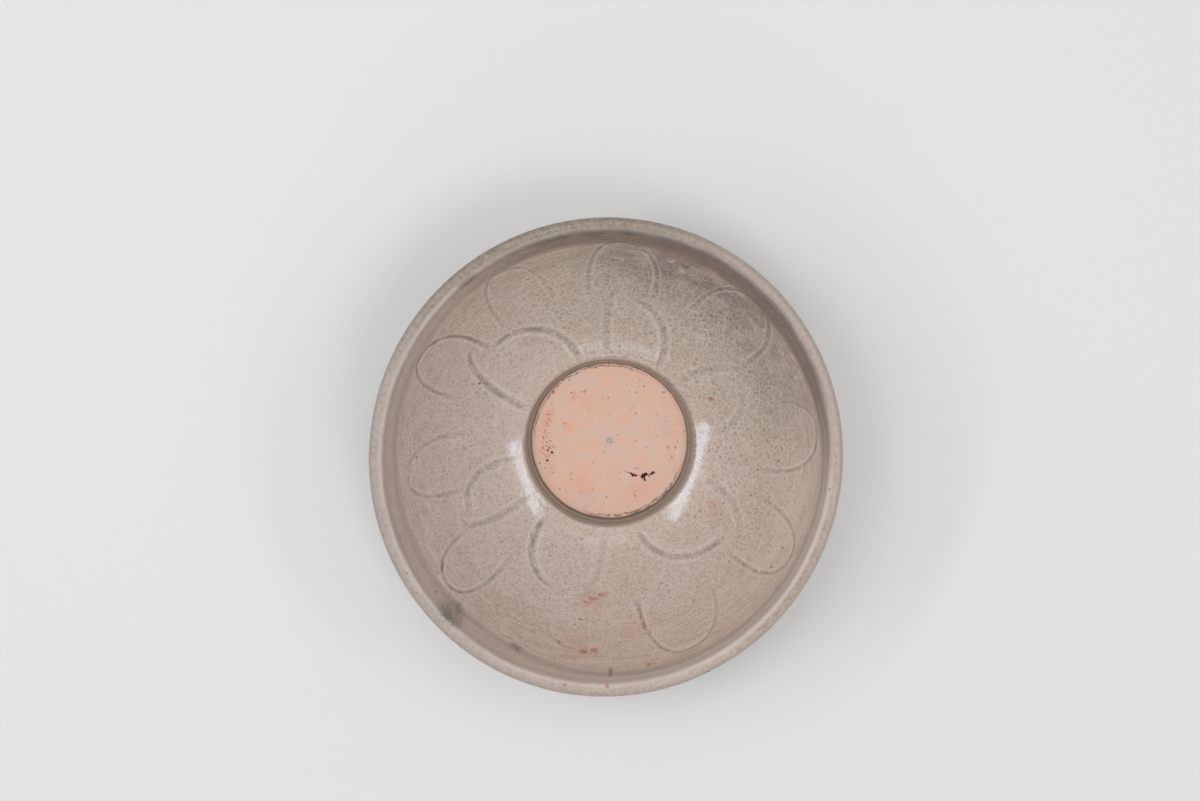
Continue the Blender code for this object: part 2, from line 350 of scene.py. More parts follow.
def filleted(before, corner, after, radius, steps):
    """An arc that rounds the corner between two straight runs."""
    to_before, to_after = heading(corner, before), heading(corner, after)
    opening = math.remainder(to_after - to_before, math.tau)
    reach = radius / abs(math.tan(opening / 2))
    centre = moved(corner, to_before + opening / 2, radius / abs(math.sin(opening / 2)))
    first = heading(centre, moved(corner, to_before, reach))
    last = heading(centre, moved(corner, to_after, reach))
    sweep = math.remainder(last - first, math.tau)
    return [moved(centre, first + sweep * i / steps, radius) for i in range(steps + 1)]


def bezier(p0, p1, p2, p3, steps):
    shares = [i / steps for i in range(steps + 1)]
    return [
        p0 * (1 - t) ** 3 + p1 * 3 * t * (1 - t) ** 2 + p2 * 3 * t**2 * (1 - t) + p3 * t**3
        for t in shares
    ]


def offset(line, distance):
    """The line moved to its left, mitred where it turns."""
    line = np.array(line)
    runs = np.diff(line)
    runs = runs / abs(runs)
    before = np.concatenate([runs[:1], runs])
    after = np.concatenate([runs, runs[-1:]])
    middle = (before + after) / abs(before + after)
    return line + 1j * middle * distance / (middle * before.conjugate()).real


def lengths(line):
    """How far along the line each of its points lies."""
    return np.concatenate([[0], np.cumsum(abs(np.diff(line)))])


def points_at(at, length, line):
    return np.interp(at, length, line.real) + 1j * np.interp(at, length, line.imag)


def walked(line, spacing):
    """The same line with its points about one spacing apart."""
    line = np.array(line)
    length = lengths(line)
    at = np.linspace(0, length[-1], max(int(round(length[-1] / spacing)), 1) + 1)
    return points_at(at, length, line)


# %% The clay's section
edge_point = complex(WELL_RADIUS + WELL_WALL_RUN, FLOOR_HEIGHT + WELL_DEPTH)
neck_point = complex(RIM_RADIUS - NECK_WIDTH, RIM_HEIGHT - NECK_DROP)
corner_point = complex(WELL_RADIUS, FLOOR_HEIGHT)
inward = cmath.rect(1.0, WALL_START_SLOPE + math.pi / 2)
run = neck_point - edge_point
arc_radius = abs(run) ** 2 / (2 * (run * inward.conjugate()).real)
arc_centre = edge_point + inward * arc_radius
arc_start = heading(arc_centre, edge_point)
arc_end = heading(arc_centre, neck_point)
print(f"the wall follows an arc of {arc_radius:.1f} mm")


def on_arc(share):
    return moved(arc_centre, arc_start + (arc_end - arc_start) * share, arc_radius)


def inside_line():
    """The clay's inside: well wall, well edge, wall, neck, lip and the lip's rounded edge."""
    low = filleted(0 + FLOOR_HEIGHT * 1j, corner_point, edge_point, WELL_CORNER, 6)
    beyond = moved(edge_point, WALL_START_SLOPE, WELL_EDGE * 3)
    high = filleted(corner_point, edge_point, beyond, WELL_EDGE, 10)
    arc = [on_arc(i / 160) for i in range(161)]
    arc = [point for point in arc if point.real > high[-1].real]
    lip_start = complex(RIM_RADIUS - LIP_WIDTH, RIM_HEIGHT - LIP_RISE)
    leave = moved(neck_point, arc_end + math.pi / 2, 0.45 * NECK_DROP)
    arrive = moved(lip_start, LIP_SLOPE + math.pi, 0.5 * LIP_WIDTH)
    neck = bezier(neck_point, leave, arrive, lip_start, 60)
    centre = complex(RIM_RADIUS - LIP_EDGE, RIM_HEIGHT - LIP_EDGE)
    first = LIP_SLOPE + math.pi / 2
    sweep = first - LIP_UNDERSIDE_TURN
    edge = [moved(centre, first - sweep * i / 24, LIP_EDGE) for i in range(25)]
    start = moved(low[-1], heading(low[-1], high[0]), SEAT_GAP)
    return low, [start] + high + arc + neck[1:] + edge


floor_arc, clay_inside = inside_line()
glaze_front = walked(offset(clay_inside, COAT), 0.05)
glaze_back = offset(clay_inside, SEAT_GAP)
front_mm = lengths(glaze_front)
print(f"the glazed inside is {front_mm[-1]:.1f} mm long from the well's floor over the lip")


# %% [markdown]
# ## Drawing a section and spinning it
#
# A potter's line becomes a pot by turning. The section is drawn with one corner that is
# extruded from place to place, and then spun once round the axis. A spin leaves a seam and,
# on the axis, many corners in one place, so doubles are merged before the faces are turned
# outwards.


# %% The lathe
def edit(piece):
    """Opens one piece in edit mode with nothing selected."""
    bpy.ops.object.select_all(action="DESELECT")
    bpy.context.view_layer.objects.active = piece
    piece.select_set(True)
    bpy.ops.object.mode_set(mode="EDIT")
    bpy.ops.mesh.select_all(action="DESELECT")


def lathe(name, line, steps):
    """A section line in millimetres, extruded corner by corner and spun round the axis."""
    bpy.context.scene.tool_settings.mesh_select_mode = (True, False, False)
    bpy.ops.object.select_all(action="DESELECT")
    start = (line[0].real * MM, 0.0, line[0].imag * MM)
    bpy.ops.mesh.primitive_plane_add(size=MM, location=start)
    made = bpy.context.object
    made.name = made.data.name = name
    bpy.ops.object.transform_apply(location=True, rotation=True, scale=True)
    bpy.ops.object.mode_set(mode="EDIT")
    bpy.ops.mesh.select_all(action="SELECT")
    bpy.ops.mesh.merge(type="CENTER")
    for move in np.diff(line) * MM:
        bpy.ops.mesh.extrude_region_move(TRANSFORM_OT_translate={"value": (move.real, 0.0, move.imag)})
    bpy.ops.mesh.select_all(action="SELECT")
    bpy.ops.mesh.spin(steps=steps, angle=math.tau, center=(0, 0, 0), axis=(0, 0, 1))
    bpy.ops.mesh.select_all(action="SELECT")
    bpy.ops.mesh.remove_doubles(threshold=0.002 * MM)
    bpy.ops.mesh.normals_make_consistent(inside=False)
    bpy.ops.object.mode_set(mode="OBJECT")
    bpy.ops.object.shade_smooth()
    print(name, "spun:", len(made.data.vertices), "corners,", len(made.data.polygons), "faces")
    return made


# %% Corners as numbers, and back
def corners(piece):
    """The corners of a piece as an array of places in millimetres."""
    places = np.empty(len(piece.data.vertices) * 3, np.float32)
    piece.data.vertices.foreach_get("co", places)
    return places.reshape(-1, 3).astype(float) / MM


def from_axis(places):
    return np.hypot(places[:, 0], places[:, 1])


def put_back(piece, places):
    piece.data.vertices.foreach_set("co", (places * MM).astype(np.float32).ravel())
    piece.data.update()


def remember(piece, name, values):
    """Stores one number at each corner, for the material to read."""
    layer = piece.data.attributes.new(name, "FLOAT", "POINT")
    layer.data.foreach_set("value", np.asarray(values, np.float32))


def bell(distance, width):
    """1 in the middle, and gone about two widths away."""
    return np.exp(-((distance / width) ** 2))


def ramp(value, low, high):
    """0 below low, 1 above high, and straight between. With low over high it falls."""
    return np.clip((value - low) / (high - low), 0, 1)


def uneven(places, size, seed):
    """Smooth noise from about -1 to 1 over places in millimetres."""
    shift = Vector((seed * 17.3, seed * 5.1, 0.0))
    return np.array([noise.noise(Vector(place) / size + shift) for place in places])


def refine(piece, chosen, cuts):
    """Splits the chosen faces into smaller ones."""
    edit(piece)
    bpy.ops.object.mode_set(mode="OBJECT")
    bpy.context.scene.tool_settings.mesh_select_mode = (False, False, True)
    piece.data.polygons.foreach_set("select", chosen)
    bpy.ops.object.mode_set(mode="EDIT")
    bpy.ops.mesh.subdivide(number_cuts=cuts)
    bpy.ops.object.mode_set(mode="OBJECT")
    bpy.context.scene.tool_settings.mesh_select_mode = (True, False, False)
    print(piece.name, "refined:", int(np.sum(chosen)), "faces cut,", len(piece.data.polygons), "faces now")


def face_middles(piece):
    middles = np.empty(len(piece.data.polygons) * 3, np.float32)
    piece.data.polygons.foreach_get("center", middles)
    return middles.reshape(-1, 3).astype(float) / MM


# %% [markdown]
# ## Where the petals were cut
#
# The carver drew ten round arches under the lip and six pointed petals over the well, by eye,
# so each has its own place and size. A stroke is a quarter of a superellipse on the wall. The
# knife was held at a slant and did not press equally all along, so every line also carries
# how deep it is at its feet and at its crown.

# %% The outer arches: left foot, crown, right foot, and the depth at each
# A place is an angle in degrees and a share of the way out from the well to the neck.
OUTER_ARCHES = (
    ((-7.5, 0.555), (7.5, 1), (16, 0.65), (0.9, 0.75, 0.45)),
    ((32, 0.585), (46, 1), (58.5, 0.58), (0.95, 0.8, 0.65)),
    ((73.5, 0.57), (86.5, 0.995), (96.5, 0.555), (0.8, 0.75, 0.6)),
    ((110, 0.57), (121.5, 0.99), (130, 0.595), (0.35, 0.45, 0.55)),
    ((140.5, 0.545), (153, 0.99), (161.5, 0.6), (1, 0.8, 0.6)),
    ((175.5, 0.48), (187.5, 0.92), (195.5, 0.57), (0.5, 0.45, 0.6)),
    ((210.5, 0.655), (219.5, 0.955), (228.5, 0.53), (0.8, 0.7, 0.6)),
    ((251.5, 0.76), (259.5, 0.905), (264, 0.8), (0.35, 0.45, 0.3)),
    ((281.5, 0.55), (294, 1), (307.5, 0.615), (0.95, 0.7, 0.5)),
    ((320, 0.59), (331, 1), (342, 0.555), (0.9, 0.65, 0.65)),
)
ARCH_FULLNESS = 2.3

# %% The inner petals: for each stroke its foot, its crown, how full it bends, and its depth
INNER_PETALS = (
    (((7, 0.14), (25, 0.475), 1.9, 0.35), ((40.5, 0.07), (30, 0.54), 1.35, 0.6)),
    (((58.5, 0.055), (79.5, 0.505), 1.65, 0.9), ((91, 0.065), (85.5, 0.6), 2, 0.6)),
    (((110, 0.03), (138.5, 0.535), 1.75, 1), ((156.5, 0.045), (145, 0.665), 1.5, 0.85)),
    (((190, 0.105), (204.5, 0.535), 2.25, 0.65), ((213.5, 0.105), (207, 0.625), 1.9, 0.55)),
    (((230, 0.095), (248.5, 0.525), 1.95, 1), ((266.5, 0.06), (258, 0.555), 2, 0.35)),
    (((289.5, 0.065), (322, 0.49), 1.7, 0.95), ((339.5, 0.14), (328.5, 0.555), 1.5, 0.7)),
)


# %% Strokes laid on the wall
def on_wall(angle, share):
    """A place on the glazed wall, in millimetres."""
    low = moved(arc_centre, arc_start, arc_radius - COAT).real
    high = moved(arc_centre, arc_end, arc_radius - COAT).real
    radius = low + share * (high - low)
    turn = np.radians(angle)
    height = np.interp(radius, glaze_front.real[: wall_end + 1], glaze_front.imag[: wall_end + 1])
    return np.array([radius * np.cos(turn), radius * np.sin(turn), height])


wall_end = int(np.searchsorted(front_mm, 58.0))


def stroke(foot_place, crown_place, fullness, count=40):
    """Angles and shares from the foot of a stroke to its crown."""
    turn = np.linspace(0.0, math.pi / 2, count)
    across = np.cos(turn).clip(0) ** (2 / fullness)
    along = np.sin(turn) ** (2 / fullness)
    angles = crown_place[0] + across * (foot_place[0] - crown_place[0])
    shares = foot_place[1] + along * (crown_place[1] - foot_place[1])
    return angles, shares


def carved_lines():
    """Each line as its places, its depth along it and a place inside its petal."""
    lines = []
    for left, crown, right, depths in OUTER_ARCHES:
        rising = stroke(left, crown, ARCH_FULLNESS)
        falling = stroke(right, crown, ARCH_FULLNESS)
        angles, shares = (np.concatenate([up, down[::-1][1:]]) for up, down in zip(rising, falling))
        at = np.linspace(0, 1, len(angles))
        depth = np.interp(at, (0, 0.06, 0.5, 0.94, 1), (0.1, depths[0], depths[1], depths[2], 0.1))
        lines.append((on_wall(angles, shares).T, depth, on_wall(crown[0], left[1] + 0.2)))
    for strokes in INNER_PETALS:
        middle = (strokes[0][1][0] + strokes[1][1][0]) / 2
        for foot_place, crown_place, fullness, cut in strokes:
            angles, shares = stroke(foot_place, crown_place, fullness)
            at = np.linspace(0, 1, len(angles))
            depth = np.interp(at, (0, 0.1, 0.9, 1), (0.3, 1.0, 0.9, 0.25)) * cut
            lines.append((on_wall(angles, shares).T, depth, on_wall(middle, 0.25)))
    return lines


lines = carved_lines()
carved_mm = sum(np.linalg.norm(np.diff(line, axis=0), axis=1).sum() for line, _, _ in lines)
print(len(lines), "carved lines,", round(carved_mm), "mm")


# %% How far a place is from the nearest line
def nearest_run(places, line):
    """For each place: the nearest run, the share along it, the way from its start, the distance."""
    runs = np.diff(line, axis=0)
    ways = places[:, None] - line[None, :-1]
    shares = ((ways * runs).sum(-1) / (runs * runs).sum(-1)).clip(0, 1)
    away = np.linalg.norm(ways - shares[..., None] * runs, axis=-1)
    best = away.argmin(axis=1)
    rows = np.arange(len(places))
    return best, shares[rows, best], ways[rows, best], away[rows, best]


def from_carving(places, reach=4.0):
    """Distance from the nearest line, below 0 inside its petal, and the depth of that line."""
    gap = np.full(len(places), reach)
    depth_there = np.zeros(len(places))
    for line, depth, middle in lines:
        low, high = line.min(axis=0) - reach, line.max(axis=0) + reach
        near = np.flatnonzero(((places > low) & (places < high)).all(axis=1))
        best, share, way, distance = nearest_run(places[near], line)
        cut = depth[best] + share * (depth[best + 1] - depth[best])
        course, inner = line[best + 1] - line[best], middle - line[best]
        side = course[:, 0] * way[:, 1] - course[:, 1] * way[:, 0]
        inner_side = course[:, 0] * inner[:, 1] - course[:, 1] * inner[:, 0]
        closer = distance < abs(gap[near])
        hit = near[closer]
        gap[hit] = np.where(side * inner_side > 0, -distance, distance)[closer]
        depth_there[hit] = cut[closer]
    return gap, depth_there


# %% [markdown]
# ## The glazed inside
#
# The poured glaze is a coat 0.7 mm thick that begins as a thick toe on the well's floor and
# wraps over the lip. Its section is closed, front and back. The spin gives it even rows, and
# only the faces near a cut are split finer, so the lines are crisp and the piece stays light.

# %% Its closed section
spans = ((0, 5, 0.35), (5, 61, 0.75), (61, front_mm[-1], 0.35))
front_at = np.concatenate([np.arange(*span) for span in spans])
front_rows = points_at(front_at, front_mm, glaze_front)
back_rows = walked(glaze_back, 3.2)[::-1]
lip_end = moved((glaze_front[-1] + glaze_back[-1]) / 2, heading(glaze_front[-2], glaze_front[-1]), 0.15)
toe = [27.35 + 9.45j, 27.0 + 9.1j, 26.82 + 9.3j, 26.8 + 9.75j]
inside_section = np.concatenate([front_rows, [lip_end], back_rows, toe, front_rows[:1]])
glazed_inside = lathe("glazed_inside", inside_section, 320)


# %% Where each corner lies along the section
SKIN_REACH = 0.2  # a corner of the skin lies at most this far from the section line, in millimetres


def along_section(places, line):
    """The index of the nearest point of a line, and how far away it is, for each place."""
    tree = kdtree.KDTree(len(line))
    for i, point in enumerate(line):
        tree.insert((point.real, point.imag, 0.0), i)
    tree.balance()
    found = [tree.find((radius, height, 0.0)) for radius, height in zip(from_axis(places), places[:, 2])]
    return np.array([f[1] for f in found]), np.array([f[2] for f in found])


middles = face_middles(glazed_inside)
_, away = along_section(middles, glaze_front)
gap, cut = from_carving(middles)
refine(glazed_inside, (abs(gap) < 1.75) & (away < 0.3) & (cut > 0.2), 2)

# %% [markdown]
# A glaze is never level. It draws back from a crest, pools in a cut, swells over a bubble and
# keeps a trace of the throwing ridges, each a few hundredths of a millimetre to a quarter of
# one. Every corner of the front moves along the section's own normal by the sum of these.

# %% Marks that stand out of the glaze: angle, radius, size and height in millimetres
GLAZE_BUMPS = (
    (67.7, 66, 1.1, 0.16), (71.5, 67.3, 0.9, 0.12), (23, 67.4, 0.8, 0.16), (116.1, 62.4, 0.9, 0.14),
    (115.2, 62.8, 0.4, -0.25), (153.8, 48.5, 0.45, -0.18), (205, 44.5, 0.5, 0.1), (330, 49, 0.6, 0.1),
)


def round_bowl(angle, radius):
    """A place seen from above, by its angle and its distance from the axis."""
    return np.array([radius * np.cos(np.radians(angle)), radius * np.sin(np.radians(angle))])


def away_from(places, angle, radius):
    return np.linalg.norm(places[:, :2] - round_bowl(angle, radius), axis=1)


def inside_relief(places, at, gap, cut):
    """How far the glaze's skin stands off its even section, in millimetres."""
    slow = 0.045 * uneven(places, 13.0, 1) + 0.016 * uneven(places, 4.5, 2)
    ridges = 0.011 * np.sin(math.tau * at / 2.4 + 2.5 * uneven(places, 22.0, 3))
    ridges = ridges * ramp(at, 8, 14) * ramp(at, 61, 57)
    broad = 1 + 0.5 * ramp(at, 46, 26)
    groove = -0.24 * cut / broad * np.where(gap < 0, bell(gap, 0.6 * broad), bell(gap, 1.1 * broad))
    lift = 0.03 * cut * (bell(gap + 1.0, 0.35) + bell(gap - 1.5, 0.45))
    wheel = -0.06 * bell(at - 61.2, 0.9) - 0.05 * bell(at - 67.4, 0.8)
    relief = slow + ridges + groove + lift + wheel
    for angle, radius, size, height in GLAZE_BUMPS:
        relief += height * bell(away_from(places, angle, radius), 0.6 * size)
    return relief


# %% Where the glaze laps over the well's floor: angle, how wide in degrees, how far in millimetres
GLAZE_LAPS = (
    (291.5, 3.5, 0.55), (300.5, 3, 0.45), (318, 5, 0.25), (262, 6, 0.2), (104, 4, 0.3),
)


def lap(places):
    """How far the coat's toe runs in over the floor at each place."""
    angle = np.degrees(np.arctan2(places[:, 1], places[:, 0])) % 360
    reach = 0.16 * uneven(places, 3.2, 5) + 0.06 * uneven(places, 0.9, 6)
    for middle, width, far in GLAZE_LAPS:
        reach += far * bell(angle - middle, width)
    return reach * ramp(places[:, 2], 11.2, 9.8)


# %% Move the skin
def settle(piece, line, relief, index, skin):
    """Puts the skin's corners on a section line, lifted by their relief. Returns all the corners."""
    places = corners(piece)
    tangent = np.gradient(line)
    tangent = tangent / abs(tangent)
    lifted = line[index] + 1j * tangent[index] * relief
    turn = np.arctan2(places[:, 1], places[:, 0])
    new = np.stack([lifted.real * np.cos(turn), lifted.real * np.sin(turn), lifted.imag], axis=1)
    places[skin] = new[skin]
    put_back(piece, places)
    return corners(piece)


places = corners(glazed_inside)
index, away = along_section(places, glaze_front)
at = front_mm[index]
gap, cut = from_carving(places)
relief = inside_relief(places, at, gap, cut)
places = settle(glazed_inside, glaze_front, relief, index, (away < SKIN_REACH) & (index > 0))
shift = lap(places) / np.maximum(from_axis(places), 1.0)
places[:, :2] *= 1 - shift[:, None]
put_back(glazed_inside, places)
remember(glazed_inside, "section", np.where(away < SKIN_REACH, at, 0.0))
remember(glazed_inside, "carved", gap)
remember(glazed_inside, "cut", cut)
print("relief from", round(relief.min(), 2), "to", round(relief.max(), 2), "mm")

# %% [markdown]
# ## The outside coat and the clay
#
# The outside was dipped. Its coat ends a little above the foot in an uneven roll, and the
# clay below is bare. The foot was turned: the leather-hard bowl was set upside down and the
# foot, the recess and its small nub were cut with a blade, which left rings.


# %% The clay's outside
def outside_line():
    """From the lip's rounded edge down the outside to the foot."""
    shares = np.linspace(0, 1, 161)
    arc = np.array([on_arc(share) for share in shares])
    tangent = 1j * (arc - arc_centre) / abs(arc - arc_centre)
    walls = WALL_AT_LIP + (WALL_AT_WELL - WALL_AT_LIP) * (1 - shares) ** 2
    rising = arc - 1j * tangent * walls
    edge_end = clay_inside[-1]
    leave = moved(edge_end, LIP_UNDERSIDE_TURN - math.pi / 2, 0.6 * LIP_WIDTH)
    arrive = moved(rising[-1], heading(rising[-2], rising[-1]), 0.45 * NECK_DROP)
    under_lip = bezier(edge_end, leave, arrive, rising[-1], 40)
    return np.concatenate([under_lip, rising[-2::-1]])


clay_outside = outside_line()


def foot_line(last, above):
    """The foot, from its fillet under the wall to the nub in its recess."""
    drop = abs((last.real - FOOT_RADIUS) * (last.imag - above.imag) / (last.real - above.real))
    top = complex(FOOT_RADIUS, last.imag - drop)
    bottom = complex(FOOT_RADIUS - FOOT_TAPER, 0.0)
    inner_bottom = bottom - FOOT_WIDTH
    inner_top = inner_bottom - FOOT_TAPER + RECESS_DEPTH * 1j
    roof = complex(NUB_RADIUS, RECESS_DEPTH)
    points = filleted(last, top, bottom, FOOT_FILLET, 10)
    points += filleted(top, bottom, inner_bottom, FOOT_CHAMFER, 8)
    points += filleted(bottom, inner_bottom, inner_top, FOOT_CHAMFER / 2, 6)
    points += filleted(inner_bottom, inner_top, roof, RECESS_CORNER, 10)
    nub = RECESS_DEPTH - NUB_HEIGHT
    points += bezier(roof, complex(3.0, RECESS_DEPTH), complex(2.8, nub), complex(1.6, nub), 10)
    return points + [complex(0.0, nub)]


foot = foot_line(clay_outside[-1], clay_outside[-20])
print("the foot starts", round(foot[0].imag, 1), "mm up")

# %% The clay, with fine rows only where it shows
floor_rows = np.linspace(0, floor_arc[0].real, 46) + FLOOR_HEIGHT * 1j
glaze_end = walked(clay_outside, 0.1)[: -int(GLAZE_END_RISE / 0.1)]
bare_wall = walked(clay_outside, 0.1)[-int((GLAZE_END_RISE + 1.2) / 0.1) :]
hidden = np.concatenate([walked(clay_inside, 4.0), walked(glaze_end, 5.0)[1:-1]])
foot_rows = walked(np.concatenate([bare_wall, foot]), 0.4)
clay_section = np.concatenate([floor_rows, floor_arc[1:], hidden, foot_rows])
turned_clay = lathe("turned_clay", clay_section, 240)

# %% Pits that opened in the floor as it dried: angle, radius, size, depth
FLOOR_PITS = (
    (314, 17.05, 0.8, 0.5), (317.2, 17.2, 0.62, 0.45), (311.9, 17, 0.52, 0.4), (312.3, 18.3, 0.5, 0.35),
    (303.1, 13.7, 0.42, 0.32), (304.6, 14.6, 0.58, 0.4), (307.3, 15.1, 0.46, 0.35),
    (323.7, 18.7, 0.5, 0.42), (321.5, 18.6, 0.42, 0.35), (318.4, 18.5, 0.3, 0.2), (301.4, 12.8, 0.24, 0.18),
    (191.6, 20.4, 0.5, 0.24), (189, 21.6, 0.34, 0.18), (197.9, 22.6, 0.42, 0.2), (186.5, 23.2, 0.3, 0.14),
    (160.4, 22.2, 0.26, 0.12), (165, 22.2, 0.24, 0.12), (170.8, 22.6, 0.22, 0.12), (177.2, 22.9, 0.3, 0.14),
    (181.5, 21.8, 0.2, 0.1), (197.9, 25.4, 0.32, 0.16), (209.5, 22.7, 0.26, 0.1), (123.6, 25.2, 0.28, 0.12),
    (133.4, 25.9, 0.24, 0.12), (266.9, 19.9, 0.34, 0.1), (239.9, 20.6, 0.2, 0.1), (251.7, 18.1, 0.18, 0.08),
    (233.2, 25.3, 0.22, 0.1), (249.4, 25.2, 0.22, 0.1), (263.1, 23.8, 0.2, 0.08), (319.6, 25.6, 0.26, 0.12),
    (310, 25.3, 0.24, 0.1), (345.2, 22.4, 0.28, 0.12), (13.8, 23.2, 0.26, 0.1), (19.1, 20.8, 0.2, 0.08),
    (46.4, 7.3, 0.22, 0.06), (63.6, 23.6, 0.22, 0.08), (147, 23.8, 0.2, 0.1), (203.5, 24.3, 0.22, 0.12),
)
CRACK = (
    (297, 12), (301.5, 13.2), (305.5, 14.7), (309.5, 15.6), (313.6, 17.1), (317.5, 17.4), (322.2, 18.8),
    (325, 19.6),
)


def from_crack(places):
    """Distance from the drying crack that joins the largest pits."""
    line = np.array([round_bowl(angle, radius) for angle, radius in CRACK])
    return nearest_run(places[:, :2], line)[-1]


def pitted(places):
    """Depth of the pits and the crack at each place, in millimetres."""
    ragged = places + 0.26 * np.stack([uneven(places, 0.5, seed) for seed in (11, 12, 13)], axis=1)
    depth = np.zeros(len(places))
    for angle, radius, size, deep in FLOOR_PITS:
        away = away_from(ragged, angle, radius)
        depth = np.maximum(depth, deep * np.clip(1.6 * (1 - (away / size) ** 2), 0, 1))
    crack = 0.20 * np.clip(1 - (from_crack(ragged) / 0.20) ** 2, 0, 1)
    return np.maximum(depth, crack * np.clip(0.6 + uneven(places, 1.1, 14), 0, 1))


# %% Split the floor round its pits, then press them in
def near_pits(places, reach):
    near = from_crack(places) < reach
    for angle, radius, size, _ in FLOOR_PITS:
        near |= away_from(places, angle, radius) < size + reach
    return near & (places[:, 2] > 8.9) & (places[:, 2] < 9.2) & (from_axis(places) < 26.6)


refine(turned_clay, near_pits(face_middles(turned_clay), 0.45), 3)
places = corners(turned_clay)
radius = from_axis(places)
turn = np.arctan2(places[:, 1], places[:, 0])
on_floor = (radius < 26.8) & (abs(places[:, 2] - FLOOR_HEIGHT) < 0.1)
pits = np.zeros(len(places))
pits[on_floor] = pitted(places[on_floor])
waves = 0.03 * uneven(places, 7.0, 15) + 0.012 * uneven(places, 0.8, 16)
waves += 0.012 * np.sin(math.tau * radius / 1.9 + turn)
places[:, 2] += np.where(on_floor, waves * ramp(radius, 26.8, 24.8) - pits, 0)
in_recess = (radius < 21.0) & (places[:, 2] > 2.0) & (places[:, 2] < 4.5)
spiral = 0.06 * np.sin(math.tau * radius / 1.7 + turn) + 0.03 * uneven(places, 3.0, 17)
places[:, 2] += np.where(in_recess, spiral * ramp(radius, 0, 3), 0)
on_foot = (places[:, 2] < 9.0) & (radius > 27.5)
rings = 0.035 * np.sin(math.tau * places[:, 2] / 1.1 + 0.7 * np.sin(turn)) + 0.04 * uneven(places, 2.2, 18)
places[:, :2] *= 1 + np.where(on_foot & (places[:, 2] > 0.6), rings / np.maximum(radius, 1), 0)[:, None]
put_back(turned_clay, places)
remember(turned_clay, "pits", pits)
print("floor pits down to", round(pits.max(), 2), "mm")

# %% The dipped coat
outer_front = walked(offset(glaze_end[4:], COAT), 0.1)
outer_back = offset(glaze_end[4:], SEAT_GAP)
outer_mm = lengths(outer_front)
outer_middle = walked(outer_front[100:-60], 1.0)[1:-1]
outer_rows = np.concatenate([walked(outer_front[:100], 0.5), outer_middle, walked(outer_front[-60:], 0.4)])
lower_end = moved((outer_front[-1] + outer_back[-1]) / 2, heading(outer_front[-2], outer_front[-1]), 0.3)
outer_section = np.concatenate([outer_rows, [lower_end], walked(outer_back, 4.0)[::-1], outer_rows[:1]])
glazed_outside = lathe("glazed_outside", outer_section, 288)


def outside_relief(places, at):
    """Throwing ridges, runs and the thick roll at the lower end."""
    ridges = 0.05 * np.sin(math.tau * at / 5.2 + 1.5 * uneven(places, 30.0, 21))
    ridges += 0.02 * np.sin(math.tau * at / 1.7)
    slow = 0.06 * uneven(places, 12.0, 22) + 0.018 * uneven(places, 4.0, 23)
    from_end = outer_mm[-1] - at
    roll = 0.22 * bell(from_end - 0.9, 0.9) * (1 + 0.5 * uneven(places, 9.0, 24))
    return ridges * ramp(at, 0, 8) + slow + roll


places = corners(glazed_outside)
index, away = along_section(places, outer_front)
at = outer_mm[index]
relief = outside_relief(places, at)
places = settle(glazed_outside, outer_front, relief, index, (away < SKIN_REACH) & (index > 2))
low = ramp(places[:, 2], 14.0, 11.0)
wander = 0.45 * uneven(places * (1, 1, 0), 11.0, 25) + 0.15 * uneven(places * (1, 1, 0), 3.0, 26)
slope = glaze_end[-1] - glaze_end[-20]
slope = slope / abs(slope)
places[:, 2] += low * wander * slope.imag
places[:, :2] *= 1 + (low * wander * slope.real / from_axis(places))[:, None]
put_back(glazed_outside, places)
remember(glazed_outside, "section", np.where(away < SKIN_REACH, at, 0.0))

# %% [markdown]
# ## The glaze drop
#
# One drop of glaze fell near the middle of the bare floor and melted to a low bead. It starts
# as a ball, is pressed flat, cut off at the floor, and pulled a little out of round.

# %% The drop
DROP_RADIUS = 0.8
DROP_HEIGHT = 0.5
bpy.ops.object.select_all(action="DESELECT")
drop_base = FLOOR_HEIGHT + SEAT_GAP
base = (0, 0, drop_base * MM)
bpy.ops.mesh.primitive_ico_sphere_add(subdivisions=5, radius=DROP_RADIUS * MM, location=base)
melted_drop = bpy.context.object
melted_drop.name = melted_drop.data.name = "melted_drop"
bpy.ops.object.transform_apply(location=True)
edit(melted_drop)
bpy.ops.mesh.select_all(action="SELECT")
bpy.ops.mesh.bisect(plane_co=base, plane_no=(0, 0, 1), clear_inner=True, use_fill=True)
bpy.ops.object.mode_set(mode="OBJECT")
bpy.ops.object.shade_smooth()
places = corners(melted_drop)
lift = places[:, 2] - drop_base
wide = 1 + 0.10 * uneven(places, 0.7, 31)
places[:, :2] *= wide[:, None]
dimple = 0.08 * bell(from_axis(places), 0.3) * (lift > 0.2)
places[:, 2] = drop_base + lift * DROP_HEIGHT / DROP_RADIUS - dimple
put_back(melted_drop, places)
print("drop:", len(melted_drop.data.polygons), "faces")

# %% [markdown]
# ## Pulled in the kiln
#
# Porcelain softens in the fire, and the mouth pulled about one part in eighty out of round.
# One lattice round the whole bowl does the same: its top corners move and its bottom
# corners stay, so the foot remains a circle. The drop lies where nothing moves and is left out.


